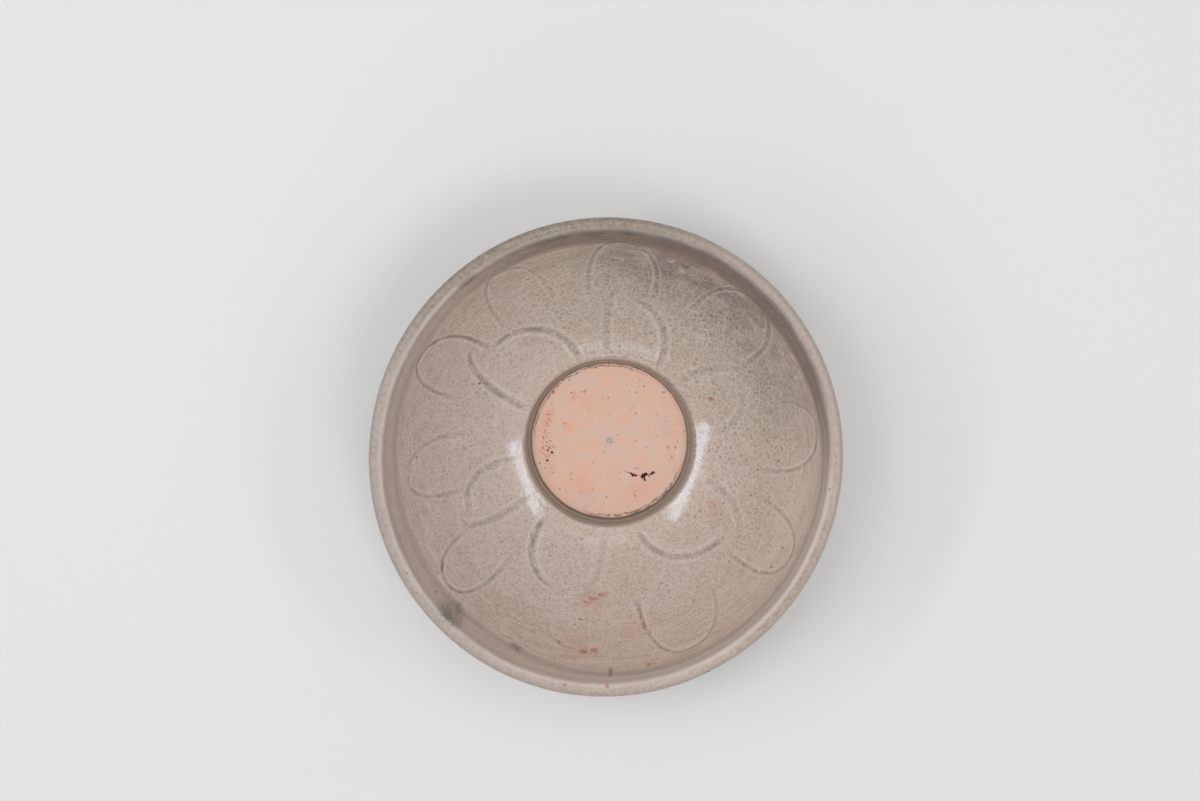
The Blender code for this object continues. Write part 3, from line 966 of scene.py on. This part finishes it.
# %% One lattice for the clay and its coats
def pull_out_of_round(pieces):
    bpy.ops.object.select_all(action="DESELECT")
    height = (RIM_HEIGHT + COAT) * MM
    width = 2 * (RIM_RADIUS + COAT) * MM
    bpy.ops.object.add(type="LATTICE", location=(0, 0, height / 2), rotation=(0, 0, LONG_AXIS))
    cage = bpy.context.object
    cage.scale = (width, width, height)
    for axis in "uvw":
        setattr(cage.data, f"interpolation_type_{axis}", "KEY_LINEAR")
    for point in cage.data.points:
        if point.co.z > 0:
            point.co_deform.x = point.co.x * (1 + OUT_OF_ROUND)
            point.co_deform.y = point.co.y * (1 - OUT_OF_ROUND)
    for piece in pieces:
        pulled = piece.modifiers.new("pulled in the kiln", "LATTICE")
        pulled.object = cage
        bpy.context.view_layer.objects.active = piece
        bpy.ops.object.modifier_apply(modifier=pulled.name)
    bpy.data.objects.remove(cage)


PIECES = {
    "inner_glaze": (glazed_inside, "poured_glaze"),
    "body": (turned_clay, "biscuit_clay"),
    "outer_glaze": (glazed_outside, "dipped_glaze"),
    "glaze_drop": (melted_drop, "glaze_drop"),
}
pull_out_of_round([glazed_inside, turned_clay, glazed_outside])

# %% [markdown]
# ## The finishes
#
# Crackle is a net of cracks that opens as the glaze shrinks more than the clay: pale lines
# round cells of about two millimetres, with a wider net over them. A Voronoi texture gives the
# cells, and its distance to the nearest edge gives the lines. The place is bent a little by
# noise first, so that no line is ruled.


# %% Crackle and dots
def crackle(finish, size, bend):
    """The lines, the middles of the cells, and one number for each cell."""
    settings = {"Vector": finish.point, "Scale": 0.9 / size, "Detail": 2}
    wobble = finish.node("ShaderNodeTexNoise", None, settings, 1)
    bent = finish.vector("ADD", finish.point, finish.vector("MULTIPLY", wobble, (bend, bend, bend)))
    values = {"Vector": bent, "Scale": 1 / size}
    edge = finish.node("ShaderNodeTexVoronoi", {"feature": "DISTANCE_TO_EDGE"}, values)
    own = finish.node("ShaderNodeTexVoronoi", None, values, 1)
    return edge.rise(0.11, 0.01), edge.rise(0.06, 0.34), own + 0


def dots(finish, place, size, least):
    """Small ragged specks of uneven size, one in each cell whose number is above the least."""
    values = {"Vector": place, "Scale": 1 / size}
    away = finish.node("ShaderNodeTexVoronoi", None, values) + 0
    own = finish.node("ShaderNodeTexVoronoi", None, values, 1) + 0
    reach = (own - least) * (0.34 / (1 - least))
    return (away - reach).rise(0.04, -0.04) * own.rise(least, least + 0.05)


# %% [markdown]
# ## Marks that have one place
#
# Rust, grey-green smears, pale marks and iron specks are listed with the angle and distance
# where each one lies, its size and how far it is drawn out round the bowl. One of the pale marks,
# along the neck's lower edge, is a painted highlight. A fifth number is how far a mark leans
# from lying round the bowl. The masks of one kind are joined by taking the larger.

# %% Marks on the glaze: angle, radius, size, stretch round the bowl, lean
RUST = (
    (267.8, 50.7, 1.3, 1.8), (264.5, 52.2, 1, 2.6), (262.5, 53.4, 0.8, 3), (266.6, 66.8, 1.3, 1.5),
    (263.6, 67.2, 1, 2.6), (281.3, 57.8, 1.6, 0.6), (281.8, 60.6, 1.9, 0.5), (283.3, 63, 1.5, 0.5),
    (271.3, 72.2, 1, 0.9), (270.6, 75, 1.2, 0.8), (281.6, 71.2, 0.8, 1.6), (260.8, 58.6, 0.8, 1.6),
    (24.4, 38.2, 1.3, 0.9), (73.7, 70.1, 0.9, 1.6), (259.9, 75.6, 0.8, 1.5),
)
RUST_HAZE = (
    (264, 53.5, 6, 1.3), (278, 61, 6, 1), (286, 59, 4, 1.3), (326.5, 43.8, 5, 1), (262, 66.5, 4.5, 2),
    (330, 41, 4, 1), (262, 75.5, 1.2, 5), (278, 75.5, 1.2, 4),
)
BROWN = (
    (244.3, 70.3, 0.35, 1.6), (246.4, 70.3, 0.35, 1.4), (218.6, 72, 0.35, 1.7), (222.2, 70.2, 0.4, 1.2),
    (245, 70.8, 0.9, 4), (256, 65.9, 0.6, 3), (240.5, 72.6, 0.28, 1.4), (271.3, 71.6, 0.9, 1.1),
    (155.2, 70, 0.32, 2), (73.7, 71.6, 0.9, 0.5), (37.3, 66.3, 0.42, 9, -45), (42.5, 69.4, 0.4, 7, -12),
    (81, 68.8, 0.42, 8, -18), (215, 67, 0.32, 12, -23), (147.5, 67.8, 0.32, 9, -35),
)
SMEARS = (
    (225.5, 72.6, 3.2, 2.4), (225.3, 73.8, 1.8, 3.8), (226, 71.2, 2.2, 2), (105.5, 73, 1.6, 4),
    (101, 73.2, 1.5, 3.2), (127.4, 73.3, 1.8, 3.2), (92.5, 73.2, 1.8, 3), (84, 73.6, 1.3, 3),
    (67.2, 67.2, 0.9, 2.6),
)
SPECKS = (
    (153.8, 48.5, 0.5, 1), (133.3, 71.8, 0.3, 1.4), (37.2, 72.1, 0.36, 1.6), (352.9, 73.5, 0.28, 1.8),
    (356.4, 57.4, 0.35, 1), (181.7, 63.7, 0.38, 1), (215.5, 76, 0.32, 1), (210.1, 74.9, 0.3, 1),
    (114.2, 63.3, 0.22, 4), (296, 77.6, 0.4, 1.6), (284.5, 50.5, 0.3, 1), (259.5, 60.5, 0.3, 1),
    (61, 45, 0.25, 1), (332, 66.2, 0.3, 1.2), (325.5, 66.6, 0.25, 2.4),
)
# Pale marks on the glaze; the long one at 28 degrees along the neck's lower edge is a painted highlight.
PALE_MARKS_AND_SHEEN = (
    (67.8, 65.5, 1.2, 1.7), (71.5, 67.3, 0.9, 2.2, 10), (22.5, 67.4, 0.8, 1.3), (38.5, 66.2, 0.9, 1.2, 40),
    (28, 69.4, 0.5, 7, 6), (116.5, 62.4, 0.6, 1.2), (201, 52.6, 0.5, 4.5, -8), (186, 66.9, 0.4, 6),
    (218, 69.4, 0.4, 5, 4), (204, 66, 0.4, 6, -40), (322.5, 64, 0.5, 4, 50), (130, 50.6, 0.5, 5, 30),
)

# %% [markdown]
# ## The poured glaze
#
# Inside, the glaze is a warm grey that leans to lilac in the west and to olive in the
# north-east. It is darkest in the ring where it pooled round the well. High in the north-east
# it is darkened with painted shade, and the rest of the neck and the upper wall to the
# south-east are laid paler as painted light. In a cut it is darker too, with a pale crest on
# either side.


# %% The colour of the poured glaze
def poured_colour(glaze):
    along = glaze.along
    glaze.start(glaze.patches(15, 0.36, 0.62, 2), (192, 171, 158), (187, 167, 149))
    glaze.lay(glaze.side(195, 0.5, 1) * 0.55, 190, 173, 166)
    glaze.lay(glaze.side(60, 0.55, 1) * 0.65, 168, 154, 140)
    glaze.lay(along.rise(22, 6) * 0.6, 204, 183, 168)
    glaze.lay(glaze.patches(2.2, 0.42, 0.68, 4, 0.65) * 0.26, 142, 128, 112)
    # Painted shade: the upper wall to the north-east is darkened, a little mottled.
    cloud = glaze.side(50, 0.78, 0.98) * along.rise(24, 48)
    glaze.lay(cloud * (glaze.patches(7, 0.34, 0.6, 3, 0.6) * 0.7 + 0.4) * 0.94, 122, 108, 101)
    high = along.rise(32, 50)
    # Painted light: the upper wall to the south-east is laid paler.
    glaze.lay(glaze.side(325, 0.45, 1) * high * 0.44, 212, 191, 175)
    glaze.lay(glaze.side(268, 0.72, 1) * high * 0.4, 180, 152, 134)
    glaze.lay(glaze.side(48, 0.6, 1) * along.rise(28, 12) * 0.35, 172, 148, 128)
    streaks = glaze.wheel(7, 0.9, 4, 0.6)
    glaze.lay(streaks.rise(0.5, 0.66) * high * 0.36, 142, 130, 118)
    glaze.lay(streaks.rise(0.5, 0.36) * high * 0.26, 212, 196, 186)
    grain = glaze.noise(glaze.point, 0.55, 3, 0.7)
    glaze.lay(grain.rise(0.5, 0.7) * 0.46, 128, 115, 102)
    glaze.lay(grain.rise(0.5, 0.3) * 0.38, 218, 202, 192)


# %% Cuts, well, neck and lip
def cut_colour(glaze):
    """A soft dark line in each cut and a pale crest beside it. Returns the dark lines."""
    gap, cut = glaze.attribute("carved"), glaze.attribute("cut")
    uneven_cut = glaze.patches(4, 0.32, 0.62) * 0.8 + 0.35
    broken = glaze.patches(0.8, 0.3, 0.6, 2) * 0.2 + 0.8
    near = gap / (glaze.along.rise(46, 24) * 0.6 + 0.8)
    core = near.band(0.25, 0.25, 0.85) * cut * uneven_cut * broken
    crests = near.band(-1.15, 0.05, 0.55).larger(near.band(1.65, 0.05, 0.6) * 0.8) * cut
    within = gap.rise(0, -1.2) * gap.rise(-3.9, -2) * cut
    glaze.lay(within * 0.08, 200, 183, 171)
    glaze.lay(core * (glaze.side(175, 0.5, 0.9) * 0.22 + 0.5), 106, 95, 84)
    glaze.lay(crests * broken * 0.5, 212, 196, 184)
    return core


def neck_shade_and_pool_colour(glaze):
    """The neck with its wheel lines, painted shade on it to the north-east and painted light
    that makes it paler on its other sides, the lip, and the dark ring where the glaze pooled
    round the well. Returns the lip."""
    along = glaze.along
    streaks = glaze.wheel(5, 1.3)
    blurred = along + (streaks - 0.5) * 1.8
    # The side where the neck is painted in shade, round the north-east.
    shaded_side = glaze.side(61, 0.62, 0.9)
    late_side = glaze.side(318, 0.55, 0.95)
    within = blurred - late_side * 4.6
    # The neck's zone, where painted shade and painted light are laid.
    neck_zone = within.rise(55.2, 58.6) * blurred.rise(70.8, 69)
    # Painted light: the neck away from the north-east is laid paler, most to the south-east.
    glaze.lay(neck_zone * (1 - shaded_side) * (late_side * 0.3 + 0.38), 206, 190, 180)
    # Painted shade: the neck to the north-east is darkened.
    glaze.lay(neck_zone * shaded_side * 0.7, 110, 98, 90)
    bands = within.band(58.9, 0.3, 2.9).larger(blurred.band(67.8, 0.2, 2.4) * 0.75)
    glaze.lay(bands * (0.38 - shaded_side * 0.1), 116, 106, 98)
    wander = along + (glaze.wheel(2.2, 0.2) - 0.5) * 1.6
    worn = streaks.rise(0.4, 0.58) * (shaded_side * 0.5 + 0.12)
    for middle in (59.6, 61.6, 63.4, 65.1, 66.8):
        glaze.lay(wander.band(middle, 0.1, 0.5) * neck_zone * worn * 0.5, 88, 76, 69)
    lip = (along + (streaks - 0.5) * 0.9).rise(69.2, 71)
    glaze.lay(lip * 0.85, 175, 158, 147)
    glaze.lay(lip * glaze.side(165, 0.1, 0.9) * 0.5, 160, 147, 138)
    flecks = glaze.patches(1.6, 0.46, 0.66, 4, 0.7)
    glaze.lay(lip * flecks * 0.4, 134, 122, 110)
    glaze.lay(lip * glaze.patches(0.8, 0.48, 0.32, 3, 0.7) * 0.3, 204, 187, 176)
    buff = lip * glaze.side(326, 0.955, 0.992) * blurred.rise(72.6, 71)
    glaze.lay(buff * (flecks * 0.5 + 0.35), 138, 122, 94)
    shift = glaze.side(15, 0.6, 1) * 0.9 - glaze.side(110, 0.6, 1)
    low = along + (streaks - 0.5) * 1.4
    glaze.lay((low - shift).rise(5.2, 4) * 0.9, 146, 133, 119)
    for middle, depth in ((2.5, 0.4), (0.4, 0.8)):
        glaze.lay(low.band(middle, 0.1, 0.8) * depth, 92, 82, 70)
    return lip


# %% Crackle on the poured glaze
def crackled(glaze):
    """Crackle, strongest low on the wall and to the north-east. Returns its lines."""
    reach = glaze.along.rise(67, 32) * glaze.along.rise(4, 5.5)
    side = glaze.side(45, 0.35, 0.95)
    strength = reach * (side * 0.35 + 0.7) * (glaze.patches(9, 0.36, 0.62, 2) * 0.5 + 0.6)
    fine_line, fine_cell, own = crackle(glaze, 1.7, 1)
    wide_line, _, wide_own = crackle(glaze, 2.8, 1.6)
    glaze.lay(fine_cell * (own * own * 1.2 + 0.1) * strength * 0.44, 122, 111, 95)
    glaze.lay(wide_line * (wide_own * 0.8 + 0.2) * reach * (side * 0.18 + 0.2), 214, 200, 188)
    line = fine_line * (own * 0.7 + 0.3) * strength
    glaze.lay(line * 0.52, 214, 199, 186)
    return line


# %% Dirt, rust and specks
def soiled_colour(glaze, lip):
    """What lies on the glaze, and a painted highlight along the neck. Returns where it is dull with dirt.
    """
    wobble = glaze.wobble(0.55)
    place, near = glaze.pushed(wobble, 2.4), glaze.pushed(wobble, 0.5)
    grain = glaze.patches(0.7, 0.35, 0.65, 3, 0.7)
    north = glaze.side(108, 0.8, 0.98)
    glaze.lay(north * lip * 0.64, 142, 125, 110)
    glaze.lay(lip * north * glaze.patches(1.3, 0.42, 0.62, 4, 0.7) * 0.6, 104, 99, 84)
    wiped = glaze.wheel(60, 0.12).rise(0.32, 0.62)
    smear = glaze.marks(place, SMEARS, 0.9) * (grain * 0.4 + 0.4) * (wiped * 0.5 + 0.7)
    glaze.lay(smear, 90, 92, 80)
    glaze.lay(glaze.marks(place, RUST_HAZE, 1) * (grain * 0.7 + 0.3) * 0.42, 188, 130, 110)
    rust = glaze.marks(place, RUST, 0.8) * (grain * 0.8 + 0.2)
    glaze.lay(rust * 0.95, 150, 92, 68)
    glaze.lay(glaze.marks(place, BROWN, 0.8) * (grain * 0.5 + 0.5) * 0.7, 100, 80, 66)
    # Pale marks, with one painted highlight along the neck's lower edge.
    glaze.lay(glaze.marks(near, PALE_MARKS_AND_SHEEN, 0.95) * 0.5, 216, 202, 194)
    glaze.lay(glaze.marks(near, SPECKS, 0.6) * 0.85, 52, 42, 36)
    glaze.lay(glaze.patches(1.3, 0.7, 0.76, 2, 0.5) * 0.4, 112, 97, 84)
    return smear.larger(rust)


# %% Put together
def poured_glaze():
    glaze = Finish("poured glaze")
    glaze.along = glaze.attribute("section")
    poured_colour(glaze)
    core = cut_colour(glaze)
    lip = neck_shade_and_pool_colour(glaze)
    line = crackled(glaze)
    dirt = soiled_colour(glaze, lip)
    peel = glaze.noise(glaze.point, 2.6, 2)
    skin = glaze.skin(peel * 0.012 + glaze.wheel(4, 0.8, 2) * 0.006 - line * 0.002)
    edge = glaze.along.rise(65.5, 68.5)
    roughness = line * 0.03 + dirt * 0.25 + edge * 0.34 + core * 1.2 + peel * 0.05 + 0.07
    return glaze.finish(base_color=glaze.colour, roughness=roughness, normal=skin)


glazed_inside.data.materials.append(poured_glaze())
print("poured glaze:", len(glazed_inside.data.materials[0].node_tree.nodes), "nodes")

# %% [markdown]
# ## The bare clay
#
# Where no glaze ran, iron in the clay took up air as the kiln cooled and flushed the surface
# salmon, with warmer patches. The pits and the drying crack are painted dark inside as shade,
# with a rusty rim. Round the floor's edge the glaze left thin dark tide lines. Under the foot the
# clay is browner, with a ring where it stood in the kiln and some grit.


# %% Patches on the floor: angle, radius, size, stretch round the bowl
FLUSHED = (
    (162, 15.4, 3.2, 0.9), (121, 16.5, 3.6, 1), (121.3, 13, 2.4, 1.2), (55, 13.5, 1.6, 1.2),
    (300, 20, 6, 1.5), (345, 22, 2.2, 1.4), (160, 23, 2.6, 2), (190, 23, 2.4, 2), (240, 18, 5, 1.2),
)
BLOOM = (
    (10, 20, 3.4, 1.2), (100, 15, 1.8, 1), (250, 21.5, 3, 1.4), (0, 0, 4, 1),
)
PITTED = (
    (163, 22.4, 2.8, 2.6), (178, 22.4, 3, 2.6), (189, 21.6, 3, 1.8), (204, 22.4, 2.8, 1.6),
    (128, 20, 2.4, 1.2),
)


# %% Clay
def floor_colour(clay, patches, fine, place, wander):
    """The salmon floor of the well."""
    clay.start(patches.rise(0.4, 0.6), (213, 179, 160), (218, 175, 151))
    clay.lay(clay.marks(place, FLUSHED, 0.9) * fine.rise(0.3, 0.6) * 0.6, 220, 154, 122)
    clay.lay(clay.patches(3, 0.58, 0.72, 3, 0.6) * 0.4, 196, 174, 160)
    clay.lay(clay.marks(place, BLOOM, 0.9) * 0.4, 186, 172, 160)
    clay.lay(fine.rise(0.5, 0.72) * 0.2, 186, 142, 120)
    field = clay.marks(place, PITTED, 0.8)
    clay.lay(field * fine.rise(0.4, 0.62) * 0.5, 206, 138, 112)
    pocks = dots(clay, place, 0.85, 0).larger(dots(clay, place, 1.3, 0.25))
    clay.lay(field * pocks * 0.9, 98, 56, 42)
    outward = clay.radius.rise(9, 25) * 0.5 + 0.5
    clay.lay(dots(clay, place, 1.9, 0.6) * outward * 0.7, 132, 84, 62)
    pits = clay.attribute("pits")
    clay.lay(pits.rise(0.005, 0.05) * 0.6, 150, 84, 58)
    # Painted shade: the deeper parts of the pits and the crack are laid nearly black.
    clay.lay(pits.rise(0.04, 0.16), 46, 22, 16)
    sides = clay.side(120, 0.7, 0.9).larger(clay.side(295, 0.8, 0.95))
    tide = wander.band(26.1, 0.08, 0.28) * sides * fine.rise(0.36, 0.5)
    clay.lay(tide * 0.75, 92, 66, 54)
    return clay.colour


def foot_colour(clay, patches, fine, place, wander):
    """The browner clay of the foot and its recess."""
    clay.start(patches.rise(0.4, 0.65), (204, 168, 144), (186, 140, 110))
    clay.lay(fine.rise(0.5, 0.7) * 0.4, 126, 100, 84)
    clay.lay(wander.band(14.5, 0.8, 2.6) * fine.rise(0.3, 0.6) * 0.6, 138, 92, 68)
    clay.lay(clay.height.rise(1.2, 0) * 0.5, 148, 122, 104)
    clay.lay(dots(clay, place, 1.6, 0.45) * 0.6, 92, 72, 60)
    return clay.colour


def bare_clay():
    clay = Finish("biscuit clay")
    patches = clay.noise(clay.point, 6.5, 4, 0.6)
    fine = clay.noise(clay.point, 0.9, 4, 0.65)
    place = clay.pushed(clay.wobble(0.7), 3)
    wander = clay.radius + (clay.noise(clay.point, 2.6, 3) - 0.5) * 2.4
    floor = clay.height.rise(5, 7) * clay.radius.rise(28.2, 27.4)
    salmon = floor_colour(clay, patches, fine, place, wander)
    brown = foot_colour(clay, patches, fine, place, wander)
    skin = clay.skin(fine * 0.05 + clay.noise(clay.point, 0.3, 3) * 0.02)
    return clay.finish(base_color=clay.mix(floor, brown, salmon), roughness=fine * 0.2 + 0.68, normal=skin)


turned_clay.data.materials.append(bare_clay())

# %% [markdown]
# ## The dipped glaze and the drop
#
# Outside, the same glaze is cleaner and more even. It darkens to olive where it gathered in
# the roll above the foot, and thins to buff on the throwing ridges.


# %% The outside
def dipped_glaze():
    glaze = Finish("dipped glaze")
    glaze.along = along = glaze.attribute("section")
    glaze.start(glaze.patches(18, 0.36, 0.62), (190, 172, 158), (180, 165, 147))
    glaze.lay(glaze.patches(2.4, 0.45, 0.7, 4, 0.65) * 0.25, 146, 132, 115)
    ridges = glaze.wheel(3, 0.7)
    glaze.lay(ridges.rise(0.4, 0.62) * 0.25, 204, 185, 169)
    runs = glaze.wheel(26, 0.07)
    glaze.lay(runs.rise(0.52, 0.7) * along.rise(6, 34) * 0.28, 142, 132, 112)
    line, cell, own = crackle(glaze, 1.9, 1.2)
    wide_line, _, wide_own = crackle(glaze, 4.4, 2)
    glaze.lay(cell * (own * 0.9 + 0.2) * 0.24, 128, 117, 99)
    glaze.lay(line * (own * 0.7 + 0.3) * 0.3, 212, 196, 182)
    glaze.lay(wide_line * (wide_own * 0.8 + 0.2) * 0.2, 214, 199, 186)
    glaze.lay(glaze.patches(0.55, 0.5, 0.7, 3, 0.7) * 0.35, 136, 122, 106)
    gathered = (along + (runs - 0.5) * 5).rise(outer_mm[-1] - 6, outer_mm[-1] - 0.8)
    glaze.lay(gathered * 0.7, 138, 128, 108)
    worn = glaze.patches(1.5, 0.66, 0.74, 3, 0.6)
    glaze.lay(worn * 0.6, 124, 96, 78)
    glaze.lay(dots(glaze, glaze.point, 1.8, 0.88) * 0.8, 72, 56, 46)
    peel = glaze.noise(glaze.point, 2.4, 3)
    skin = glaze.skin(peel * 0.014 + ridges * 0.02 - line * 0.002)
    roughness = line * 0.05 + worn * 0.2 + peel * 0.08 + 0.1
    return glaze.finish(base_color=glaze.colour, roughness=roughness, normal=skin)


glazed_outside.data.materials.append(dipped_glaze())


# %% The drop
def bead_glaze():
    bead = Finish("glaze bead")
    cloud = bead.noise(bead.point, 0.4, 3)
    bead.start(cloud.rise(0.4, 0.6), (192, 176, 166), (180, 164, 154))
    bead.lay(bead.radius.band(0.6, 0.08, 0.25) * 0.2, 150, 138, 126)
    skin = bead.skin(cloud * 0.03, 0.6)
    return bead.finish(base_color=bead.colour, roughness=cloud * 0.1 + 0.12, normal=skin)


melted_drop.data.materials.append(bead_glaze())
print("materials:", [m.name for m in bpy.data.materials if m.use_nodes])

# %% [markdown]
# ## Everything in its place
#
# Each piece rides on the bowl's one body and stands for its solid, which is hidden.

# %% Join the pieces to the solids
for node, (piece, slot) in PIECES.items():
    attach(piece, "root")
    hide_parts(node)
    triangles = sum(len(face.vertices) - 2 for face in piece.data.polygons)
    print(piece.name, "stands for", node, "with", triangles, "triangles")

# %% The floor
bpy.ops.object.select_all(action="DESELECT")
bpy.ops.mesh.primitive_plane_add(size=4.0, location=(0, 0, 0))
table = bpy.context.object
table.name = "table"
paper = Recipe("pale paper")
table.data.materials.append(paper.finish(base_color=srgb(226, 225, 222), roughness=0.9))
